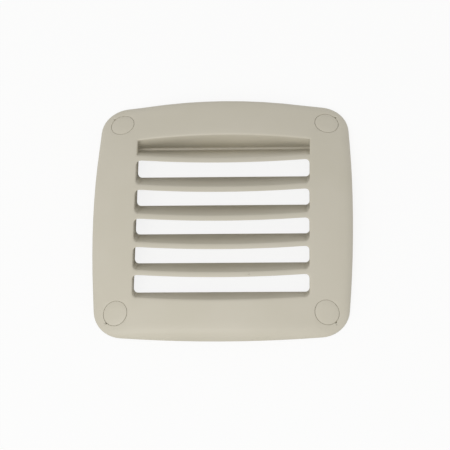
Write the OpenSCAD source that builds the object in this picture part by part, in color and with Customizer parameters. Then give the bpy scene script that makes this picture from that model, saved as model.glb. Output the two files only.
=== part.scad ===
// Square domed ventilation grille, moulded in one piece, with sloping
// louvre blades, a blind trough above them and four snap-in screw covers.
// Lies on its back: X to the right, Y towards the blind trough, Z out of
// the front. Z = 0 is the plane that rests against the wall or panel.
// The origin is the middle of that plane. All sizes are in millimetres.

/* [Face plate] */
// Overall width and height of the square plate, measured mid-side
plate_w = 125; // [100:1:160]
// How far the middle of each side stands proud of its ends
side_bulge = 2.0; // [0.8:0.1:4]
// Radius of the four corners seen from the front
corner_r = 14; // [8:0.5:20]
// Height of the dome above the back plane at the centre
dome_h = 17.5; // [16:0.5:22]
// Radius of the ball that the front face is part of
dome_r = 210; // [200:5:300]
// Width of the rolled edge round the plate
edge_r = 3.2; // [1.5:0.1:4.5]
// Thickness of the moulded wall
wall_t = 2.4; // [1.6:0.1:3.2]

/* [Louvre] */
// Half the width of the openings
slot_half_w = 41.8; // [30:0.2:43]
// Distance from one blade to the next
blade_pitch = 15.2; // [13:0.1:15.6]
// Clear gap between two blades, measured along Y at their rear edges
slot_gap = 12.3; // [9:0.1:12.6]
// Lean of the blades away from straight out
blade_lean = 40.2; // [30:0.5:44]
// Y of the lower side of the topmost opening at the blades' rear edges
first_slot_y = 22.5; // [20:0.5:23.5]
// Height of the blades' rear edges above the back plane
blade_back_z = 2.5; // [1.5:0.1:4]
// Radius of the corners of each opening
slot_corner_r = 2.0; // [0.8:0.1:3.5]

/* [Blind trough] */
// Y of the foot of the trough's upper wall
trough_foot_y = 38.6; // [38:0.1:39.5]
// Width of the trough along Y at its foot
trough_foot_w = 1.4; // [1:0.1:2.2]
// Slope of the trough's upper wall, sideways step per unit of height
trough_upper_slope = 0.145; // [0.05:0.01:0.2]
// Radius of the rounded foot of the trough
trough_foot_r = 0.8; // [0.5:0.1:1]

/* [Screw fixing] */
// Distance between screw holes, the same both ways
screw_pitch = 100; // [94:1:101]
// Radius of the screw holes
screw_hole_r = 2.1; // [1.5:0.1:2.6]
// Thickness of the seat that the screw head bears on
screw_seat_t = 1.4; // [1:0.1:1.8]
// Outer radius of the boss round each screw
boss_r = 7.6; // [7.2:0.1:8.4]
// Radius of the well for the screw head
head_well_r = 4.6; // [4:0.1:4.9]

/* [Screw caps] */
// Radius of a cap
cap_r = 5.65; // [5.3:0.05:6]
// Gap left round a cap
cap_gap = 0.12; // [0.08:0.01:0.25]
// Thickness of a cap's disc
cap_t = 1.4; // [1:0.1:1.6]
// Side of the square pry notch that opens outwards beside each cap
notch_side = 1.5; // [0.8:0.1:2]
// Depth of the pry notch below the face
notch_depth = 0.9; // [0.5:0.1:1.2]

/* [Hidden] */

eps = 0.01;
slot_count = 5;
half_w = plate_w / 2;
side_r = (plate_w * 0.4) * (plate_w * 0.4) / (2 * side_bulge);
side_off = side_r - half_w;
corner_c = (sqrt(2 * (side_r - corner_r) * (side_r - corner_r) - side_off * side_off) - side_off) / 2;
join_a = atan2(corner_c, corner_c + side_off);
side_steps = 10;
corner_steps = 10;
edge_angles = [0, 20, 40, 60];
cover_w = 8;
ball_z = dome_h - dome_r;
lean_step = tan(blade_lean);
gap_across = slot_gap * cos(blade_lean);
sheet_y = wall_t / cos(blade_lean);
last_slot_y = first_slot_y - (slot_count - 1) * blade_pitch;
core_top_y = trough_foot_y + wall_t;
trough_low_y = trough_foot_y - trough_foot_w;
core_half_w = slot_half_w + wall_t;
trough_back_z = 0.5;
far = 25;
screw_off = screw_pitch / 2;
plug_r = head_well_r - 0.1;
plug_wall = 0.8;
plug_foot_z = screw_seat_t + 1.2;
face_colour = "#CFC8B6";

// One station of the plate's outline: arc centre, arc radius, direction
function turn(p, k) = k == 0 ? p : turn([-p[1], p[0]], k - 1);
function side_station(k, i) = [
    turn([-side_off, 0], k),
    side_r,
    90 * k - join_a + 2 * join_a * i / side_steps
];
function corner_station(k, i) = [
    turn([corner_c, corner_c], k),
    corner_r,
    90 * k + join_a + (90 - 2 * join_a) * i / corner_steps
];
stations = [
    for (k = [0 : 3])
        for (i = [0 : side_steps + corner_steps - 1])
            i < side_steps ? side_station(k, i) : corner_station(k, i - side_steps)
];
n_st = len(stations);

// A point of the outline moved inwards by d
function inset(s, d) = s[0] + (s[1] - d) * [cos(s[2]), sin(s[2])];
// Height of the domed face above the back plane at a point
function dome_z(p) = ball_z + sqrt(dome_r * dome_r - p[0] * p[0] - p[1] * p[1]);
// Height of the face where the rolled edge begins, and its slope there
function edge_top(s) = dome_z(inset(s, edge_r));
function edge_slope(s) = dome_z(inset(s, edge_r + 1)) - edge_top(s);
// How far the rolled edge drops; less at the corners, where the plate is low
function edge_drop(s) = min(edge_r, edge_top(s) - edge_slope(s) * edge_r - 1);
// Point of the rolled edge at an angle above level
function edge_d(a) = edge_r * (1 - cos(a));
function edge_z(s, a) = edge_top(s) - edge_slope(s) * (edge_r - edge_d(a)) - edge_drop(s) * (1 - sin(a));
function lift(p, z) = [p[0], p[1], z];
// Height of the sloping cover that runs on above the dome
function cover_z(s) = edge_top(s) + cover_w * (edge_slope(s) + tan(15) * edge_drop(s) / edge_r);

skin_points = concat(
    [for (s = stations) lift(inset(s, 0), 0)],
    [for (a = edge_angles) for (s = stations) lift(inset(s, edge_d(a)), edge_z(s, a))],
    [for (s = stations) lift(inset(s, edge_r + cover_w), cover_z(s))],
    [[0, 0, dome_h + 12]]
);
n_rings = len(edge_angles) + 2;
function ring_next(i) = (i + 1) % n_st;
skin_faces = concat(
    [[for (i = [0 : n_st - 1]) i]],
    [for (r = [0 : n_rings - 2]) for (i = [0 : n_st - 1])
        [r * n_st + i, (r + 1) * n_st + ring_next(i), r * n_st + ring_next(i)]],
    [for (r = [0 : n_rings - 2]) for (i = [0 : n_st - 1])
        [r * n_st + i, (r + 1) * n_st + i, (r + 1) * n_st + ring_next(i)]],
    [for (i = [0 : n_st - 1])
        [(n_rings - 1) * n_st + i, n_rings * n_st, (n_rings - 1) * n_st + ring_next(i)]]
);

// The ball that shapes the front, lowered by the given amount
module ball(drop) {
    translate([0, 0, ball_z]) {
        sphere(r = dome_r - drop, $fn = 200);
    }
}

// The whole outer shape as a solid: dome, rolled edge and upright wall
module outer_shape() {
    intersection() {
        polyhedron(points = skin_points, faces = skin_faces, convexity = 4);
        ball(0);
    }
}

// The hollow behind the face
module back_hollow() {
    intersection() {
        translate([0, 0, -1]) {
            linear_extrude(height = dome_h) {
                polygon([for (s = stations) inset(s, wall_t + 0.2)]);
            }
        }
        ball(wall_t);
    }
}

// Outline of the louvre core in the Y-Z plane, open at the front
module core_profile() {
    polygon([
        [last_slot_y - sheet_y, blade_back_z],
        [last_slot_y - sheet_y - lean_step * far, blade_back_z + far],
        [core_top_y + trough_upper_slope * far, blade_back_z + far],
        [core_top_y, trough_back_z],
        [trough_low_y - 0.4, trough_back_z],
        [first_slot_y + blade_pitch - 2, blade_back_z]
    ]);
}

// Turns a Y-Z outline into a bar along X
module bar_along_x(half_len) {
    rotate([90, 0, 90]) {
        translate([0, 0, -half_len]) {
            linear_extrude(height = 2 * half_len) {
                children();
            }
        }
    }
}

module louvre_core() {
    intersection() {
        outer_shape();
        bar_along_x(core_half_w) {
            core_profile();
        }
    }
}

// Seen along the slope of the blades, an opening is a rounded rectangle
module slot_profile() {
    square([2 * slot_half_w, gap_across - 2 * slot_corner_r], center = true);
    square([2 * slot_half_w - 2 * slot_corner_r, gap_across], center = true);
    for (sx = [-1, 1]) {
        for (sy = [-1, 1]) {
            translate([sx * (slot_half_w - slot_corner_r), sy * (gap_across / 2 - slot_corner_r)]) {
                circle(r = slot_corner_r, $fn = 48);
            }
        }
    }
}

module slots() {
    for (i = [0 : slot_count - 1]) {
        translate([0, first_slot_y - i * blade_pitch + slot_gap / 2, blade_back_z]) {
            rotate([blade_lean, 0, 0]) {
                translate([0, 0, -8]) {
                    linear_extrude(height = 8 + far + 5) {
                        slot_profile();
                    }
                }
            }
        }
    }
}

// The trough has a steep upper wall and a lower wall that follows the blades
module trough_profile() {
    polygon([
        [trough_low_y, blade_back_z],
        [trough_foot_y, blade_back_z],
        [trough_foot_y + trough_upper_slope * far, blade_back_z + far],
        [trough_low_y - lean_step * far, blade_back_z + far]
    ]);
    translate([(trough_low_y + trough_foot_y) / 2, blade_back_z]) {
        circle(r = trough_foot_r, $fn = 48);
    }
}

module trough() {
    bar_along_x(slot_half_w) {
        trough_profile();
    }
}

// Places its children at one screw; sx and sy pick the corner
module at_screw(sx, sy) {
    translate([sx * screw_off, sy * screw_off, 0]) {
        children();
    }
}

module every_screw() {
    for (sx = [-1, 1]) {
        for (sy = [-1, 1]) {
            at_screw(sx, sy) {
                children();
            }
        }
    }
}

module bosses() {
    intersection() {
        outer_shape();
        every_screw() {
            cylinder(r = boss_r, h = dome_h, $fn = 96);
        }
    }
}

// Screw hole and head well; the cap's own seat follows the dome
module screw_wells() {
    every_screw() {
        translate([0, 0, -1]) {
            cylinder(r = screw_hole_r, h = dome_h, $fn = 64);
        }
        translate([0, 0, screw_seat_t]) {
            cylinder(r = head_well_r, h = dome_h, $fn = 96);
        }
    }
}

module cap_seats() {
    difference() {
        every_screw() {
            translate([0, 0, screw_seat_t]) {
                cylinder(r = cap_r + cap_gap, h = dome_h, $fn = 96);
            }
        }
        ball(cap_t + 0.05);
    }
}

// Small square notches, corner outwards, for prising a cap off
module pry_notches() {
    difference() {
        for (sx = [-1, 1]) {
            for (sy = [-1, 1]) {
                at_screw(sx, sy) {
                    rotate([0, 0, 45 + (sy > 0 ? (sx > 0 ? 0 : 90) : (sx > 0 ? -90 : 180))]) {
                        translate([cap_r - 0.35, 0, screw_seat_t]) {
                            rotate([0, 0, 45]) {
                                translate([-notch_side / 2, -notch_side / 2, 0]) {
                                    cube([notch_side, notch_side, dome_h]);
                                }
                            }
                        }
                    }
                }
            }
        }
        ball(notch_depth);
    }
}

module grille_body() {
    color(face_colour) {
        difference() {
            union() {
                difference() {
                    outer_shape();
                    back_hollow();
                }
                louvre_core();
                bosses();
            }
            slots();
            trough();
            screw_wells();
            cap_seats();
            pry_notches();
        }
    }
}

// A cap: a disc that follows the dome, with a plug ring that snaps in
module screw_cap(sx, sy) {
    color(face_colour) {
        intersection() {
            at_screw(sx, sy) {
                difference() {
                    union() {
                        difference() {
                            cylinder(r = cap_r, h = dome_h, $fn = 96);
                            translate([-sx * screw_off, -sy * screw_off, 0]) {
                                ball(cap_t);
                            }
                        }
                        translate([0, 0, plug_foot_z]) {
                            cylinder(r = plug_r, h = dome_h, $fn = 96);
                        }
                    }
                    difference() {
                        translate([0, 0, -1]) {
                            cylinder(r = plug_r - plug_wall, h = dome_h, $fn = 96);
                        }
                        difference() {
                            cylinder(r = plug_r, h = dome_h + 1, $fn = 96);
                            translate([-sx * screw_off, -sy * screw_off, 0]) {
                                ball(cap_t);
                            }
                        }
                    }
                }
            }
            ball(0);
        }
    }
}

module screw_cap_top_left() {
    screw_cap(-1, 1);
}

module screw_cap_top_right() {
    screw_cap(1, 1);
}

module screw_cap_bottom_left() {
    screw_cap(-1, -1);
}

module screw_cap_bottom_right() {
    screw_cap(1, -1);
}

grille_body();
screw_cap_top_left();
screw_cap_top_right();
screw_cap_bottom_left();
screw_cap_bottom_right();
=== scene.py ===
import math

import bmesh
import bpy
from mathutils import Matrix, Vector


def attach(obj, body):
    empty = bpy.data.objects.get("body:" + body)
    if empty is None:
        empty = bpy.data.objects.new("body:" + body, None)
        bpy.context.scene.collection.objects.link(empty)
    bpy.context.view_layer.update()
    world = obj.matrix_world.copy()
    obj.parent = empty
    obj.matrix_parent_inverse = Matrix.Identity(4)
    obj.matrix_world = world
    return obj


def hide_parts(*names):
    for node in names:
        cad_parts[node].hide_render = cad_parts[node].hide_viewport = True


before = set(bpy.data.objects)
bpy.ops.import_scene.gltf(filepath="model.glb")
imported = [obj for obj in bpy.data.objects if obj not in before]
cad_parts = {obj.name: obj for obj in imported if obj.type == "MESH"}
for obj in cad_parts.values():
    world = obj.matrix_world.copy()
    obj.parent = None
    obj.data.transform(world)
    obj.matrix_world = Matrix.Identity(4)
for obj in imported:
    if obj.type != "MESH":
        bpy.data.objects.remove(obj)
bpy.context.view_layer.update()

MM = 0.001
IMAGE_PX = 450.0


# Sizes of the moulding, as the part's source has them, in metres

DOME_H = 17.5 * MM
DOME_R = 210.0 * MM
SCREW_OFF = 50.0 * MM
CAP_ZONE = 6.6 * MM
LOUVRE_HALF_X = 44.0 * MM
LOUVRE_HALF_Y = 52.0 * MM
SLOT_RIM = 0.9 * MM
CAP_RIM = 0.22 * MM
FLAT_TOL = 0.03 * MM
COPLANAR = math.radians(0.05)
GRID = 4.0 * MM
FRONT_HALF = 56.0 * MM
RIM_ANGLE = math.radians(30)
CREASE_ANGLE = math.radians(32)
SLOT_RIM_STEPS = 4
CAP_RIM_STEPS = 2
FACING_OUT = 0.9


def dome_z(x, y):
    """Height of the domed front above the back plane."""
    return DOME_H - DOME_R + math.sqrt(DOME_R * DOME_R - x * x - y * y)


def near_cap(point):
    """Says whether a point is on a cap, its seat or its pry notch."""
    return math.hypot(abs(point.x) - SCREW_OFF, abs(point.y) - SCREW_OFF) < CAP_ZONE


def in_louvre(point):
    """Says whether a point is in the field of the slots and the trough."""
    return abs(point.x) < LOUVRE_HALF_X and abs(point.y) < LOUVRE_HALF_Y and not near_cap(point)


def lies_on_dome(point):
    """Says whether a point of the piece, not yet flattened, is on the dome."""
    return abs(point.z - dome_z(point.x, point.y)) < FLAT_TOL


def on_front(face):
    """Says whether a face of the flattened piece is part of its front."""
    return face.normal.z > FACING_OUT and all(abs(v.co.z) < FLAT_TOL for v in face.verts)


def round_rims(build, width, steps, wanted):
    """Rounds the edges between the flattened front and the walls that leave it."""
    rims = []
    for edge in build.edges:
        if len(edge.link_faces) != 2 or not wanted(edge):
            continue
        sides = [on_front(face) for face in edge.link_faces]
        if sides.count(True) == 1 and edge.calc_face_angle(0) > RIM_ANGLE:
            rims.append(edge)
    bmesh.ops.bevel(build, geom=rims, offset=width, offset_type="OFFSET", affect="EDGES", segments=steps,
                    profile=0.5, material=-1, clamp_overlap=False)


def cut_front(build):
    """Cuts the flat front into a grid, so that it can follow the dome again."""
    count = int(FRONT_HALF / GRID)
    for axis in (0, 1):
        normal = [0.0, 0.0, 0.0]
        normal[axis] = 1.0
        for step in range(-count, count + 1):
            place = [0.0, 0.0, 0.0]
            place[axis] = step * GRID
            faces = [f for f in build.faces if on_front(f)]
            edges = {e for f in faces for e in f.edges}
            verts = {v for f in faces for v in f.verts}
            bmesh.ops.bisect_plane(build, geom=[*faces, *edges, *verts], dist=1e-7, plane_co=place,
                                   plane_no=normal)


def moulded_piece(node_name, piece_name):
    """Copies a solid, softens its front edges as a mould does, and puts the copy in its place."""
    build = bmesh.new()
    build.from_mesh(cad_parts[node_name].data)
    bmesh.ops.remove_doubles(build, verts=build.verts, dist=0.002 * MM)
    build.normal_update()
    walls = [e for e in build.edges if len(e.link_faces) == 2 and e.calc_face_angle(1) < COPLANAR
             and not all(lies_on_dome(v.co) for f in e.link_faces for v in f.verts)]
    bmesh.ops.dissolve_edges(build, edges=walls, use_verts=False, use_face_split=False)
    for vert in build.verts:
        vert.co.z -= dome_z(vert.co.x, vert.co.y)
    build.normal_update()
    front = {f for f in build.faces if on_front(f)}
    inner = [e for e in build.edges if len(e.link_faces) == 2 and all(f in front for f in e.link_faces)]
    bmesh.ops.dissolve_edges(build, edges=inner, use_verts=False, use_face_split=False)
    build.normal_update()
    round_rims(build, SLOT_RIM, SLOT_RIM_STEPS, lambda e: all(in_louvre(v.co) for v in e.verts))
    build.normal_update()
    round_rims(build, CAP_RIM, CAP_RIM_STEPS, lambda e: all(near_cap(v.co) for v in e.verts))
    build.normal_update()
    cut_front(build)
    for vert in build.verts:
        vert.co.z += dome_z(vert.co.x, vert.co.y)
    bmesh.ops.triangulate(build, faces=[f for f in build.faces if len(f.verts) > 4])
    build.normal_update()
    mesh = bpy.data.meshes.new(piece_name)
    build.to_mesh(mesh)
    build.free()
    mesh.shade_smooth()
    mesh.set_sharp_from_angle(angle=CREASE_ANGLE)
    piece = bpy.data.objects.new(piece_name, mesh)
    bpy.context.scene.collection.objects.link(piece)
    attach(piece, "root")
    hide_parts(node_name)
    return piece


# Colours

def linear(hex_code):
    """Turns an sRGB hex colour into the linear RGBA that the shader takes."""
    parts = [int(hex_code[i:i + 2], 16) / 255 for i in (0, 2, 4)]
    bent = [p / 12.92 if p <= 0.04045 else ((p + 0.055) / 1.055) ** 2.4 for p in parts]
    return (*bent, 1.0)


def add_node(tree, kind, settings=None, links=None):
    """Adds a node, sets its properties and input values, and links its inputs."""
    node = tree.nodes.new(kind)
    for name, value in (settings or {}).items():
        if isinstance(name, int) or name in node.inputs:
            node.inputs[name].default_value = value
        else:
            setattr(node, name, value)
    for name, source in (links or {}).items():
        tree.links.new(source, node.inputs[name])
    return node


def new_material(name):
    material = bpy.data.materials.new(name)
    material.use_nodes = True
    material.node_tree.nodes.clear()
    return material, material.node_tree


# Moulded ABS: an opaque cream plastic from a finely spark-eroded mould, which
# gives the eye a soft satin sheen, a faint grain and hardly any change of colour.
# The real grain is about 0.1 mm; it is drawn at 0.5 mm so that it shows.

GRAIN_MM = 0.5
GRAIN_DEPTH_MM = 0.02
CLOUD_MM = 30.0


def moulded_abs(name, pale_hex, deep_hex):
    material, tree = new_material(name)
    place = add_node(tree, "ShaderNodeTexCoord").outputs["Object"]
    grain = add_node(tree, "ShaderNodeTexNoise", {"Scale": 1 / (GRAIN_MM * MM), "Detail": 3.0, "Roughness": 0.6},
                     {"Vector": place})
    bump = add_node(tree, "ShaderNodeBump", {"Strength": 0.35, "Distance": GRAIN_DEPTH_MM * MM},
                    {"Height": grain.outputs["Fac"]})
    cloud = add_node(tree, "ShaderNodeTexNoise", {"Scale": 1 / (CLOUD_MM * MM), "Detail": 3.0}, {"Vector": place})
    tint = add_node(tree, "ShaderNodeValToRGB", links={"Fac": cloud.outputs["Fac"]})
    tint.color_ramp.elements[0].position = 0.35
    tint.color_ramp.elements[1].position = 0.65
    tint.color_ramp.elements[0].color = linear(deep_hex)
    tint.color_ramp.elements[1].color = linear(pale_hex)
    sheen = add_node(tree, "ShaderNodeMapRange", {"To Min": 0.44, "To Max": 0.52}, {"Value": grain.outputs["Fac"]})
    shader = add_node(tree, "ShaderNodeBsdfPrincipled", {"IOR": 1.53},
                      {"Base Color": tint.outputs["Color"], "Roughness": sheen.outputs["Result"],
                       "Normal": bump.outputs["Normal"]})
    add_node(tree, "ShaderNodeOutputMaterial", links={"Surface": shader.outputs["BSDF"]})
    return material


cream_body = moulded_abs("moulded_abs_cream", "CCC6B6", "C9C3B2")
cream_cap = moulded_abs("moulded_abs_cap", "CCC6B6", "C9C3B2")
body = moulded_piece("grille_body", "louvred_front")
body.data.materials.clear()
body.data.materials.append(cream_body)
for corner in ("top_left", "top_right", "bottom_left", "bottom_right"):
    cap = moulded_piece("screw_cap_" + corner, "flush_cap_" + corner)
    cap.data.materials.clear()
    cap.data.materials.append(cream_cap)


# Floor and light

floor_material, tree = new_material("pale_floor")
seen = add_node(tree, "ShaderNodeLightPath").outputs["Is Camera Ray"]
share = add_node(tree, "ShaderNodeMath", {"operation": "MULTIPLY", 1: 0.85}, {0: seen})
matt = add_node(tree, "ShaderNodeBsdfDiffuse", {"Color": linear("F4F4F2")})
glow = add_node(tree, "ShaderNodeEmission", {"Color": linear("FFFFFF"), "Strength": 1.0})
floor_mix = add_node(tree, "ShaderNodeMixShader", None,
                     {0: share.outputs[0], 1: matt.outputs[0], 2: glow.outputs[0]})
add_node(tree, "ShaderNodeOutputMaterial", links={"Surface": floor_mix.outputs[0]})

build = bmesh.new()
bmesh.ops.create_grid(build, x_segments=1, y_segments=1, size=3.0)
floor_mesh = bpy.data.meshes.new("floor")
build.to_mesh(floor_mesh)
build.free()
floor_mesh.materials.append(floor_material)
floor = bpy.data.objects.new("floor", floor_mesh)
floor.location.z = -0.3 * MM
bpy.context.scene.collection.objects.link(floor)

world = bpy.data.worlds.new("studio")
bpy.context.scene.world = world
world.use_nodes = True
sky = world.node_tree.nodes["Background"]
sky.inputs["Color"].default_value = (1, 1, 1, 1)
sky.inputs["Strength"].default_value = 0.66


def soft_lamp(name, place, size, power):
    data = bpy.data.lights.new(name, "AREA")
    data.shape = "SQUARE"
    data.size = size
    data.energy = power
    lamp = bpy.data.objects.new(name, data)
    lamp.location = place
    lamp.rotation_euler = (-Vector(place)).to_track_quat("-Z", "Y").to_euler()
    bpy.context.scene.collection.objects.link(lamp)


soft_lamp("soft_box", (-0.5, -1.0, 1.2), 1.2, 10.0)


# Camera: values found by fitting the photograph's outline, blades and caps

CAM_DOWN_DEG = 24.93
CAM_SIDE_DEG = 3.5
CAM_ROLL_DEG = 1.064
CAM_DISTANCE_MM = 1060.0
CAM_FOCAL_PX = 2206.8
CAM_AIM_MM = (1.093, -3.553, 3.2)

down, side, roll = (math.radians(a) for a in (CAM_DOWN_DEG, CAM_SIDE_DEG, CAM_ROLL_DEG))
toward_camera = Vector((math.sin(side) * math.cos(down), -math.sin(down), math.cos(side) * math.cos(down)))
eye = (Vector(CAM_AIM_MM) + toward_camera * CAM_DISTANCE_MM) * MM
look = -toward_camera
level = look.cross(Vector((0, 1, 0))).normalized()
upright = level.cross(look)
right = math.cos(roll) * level + math.sin(roll) * upright
up = math.cos(roll) * upright - math.sin(roll) * level
camera_data = bpy.data.cameras.new("camera")
camera_data.sensor_width = 36.0
camera_data.lens = CAM_FOCAL_PX * camera_data.sensor_width / IMAGE_PX
camera = bpy.data.objects.new("camera", camera_data)
camera.matrix_world = Matrix.Translation(eye) @ Matrix((right, up, -look)).transposed().to_4x4()
bpy.context.scene.collection.objects.link(camera)
bpy.context.scene.camera = camera

bpy.context.scene.view_settings.view_transform = "Standard"

bpy.context.view_layer.update()
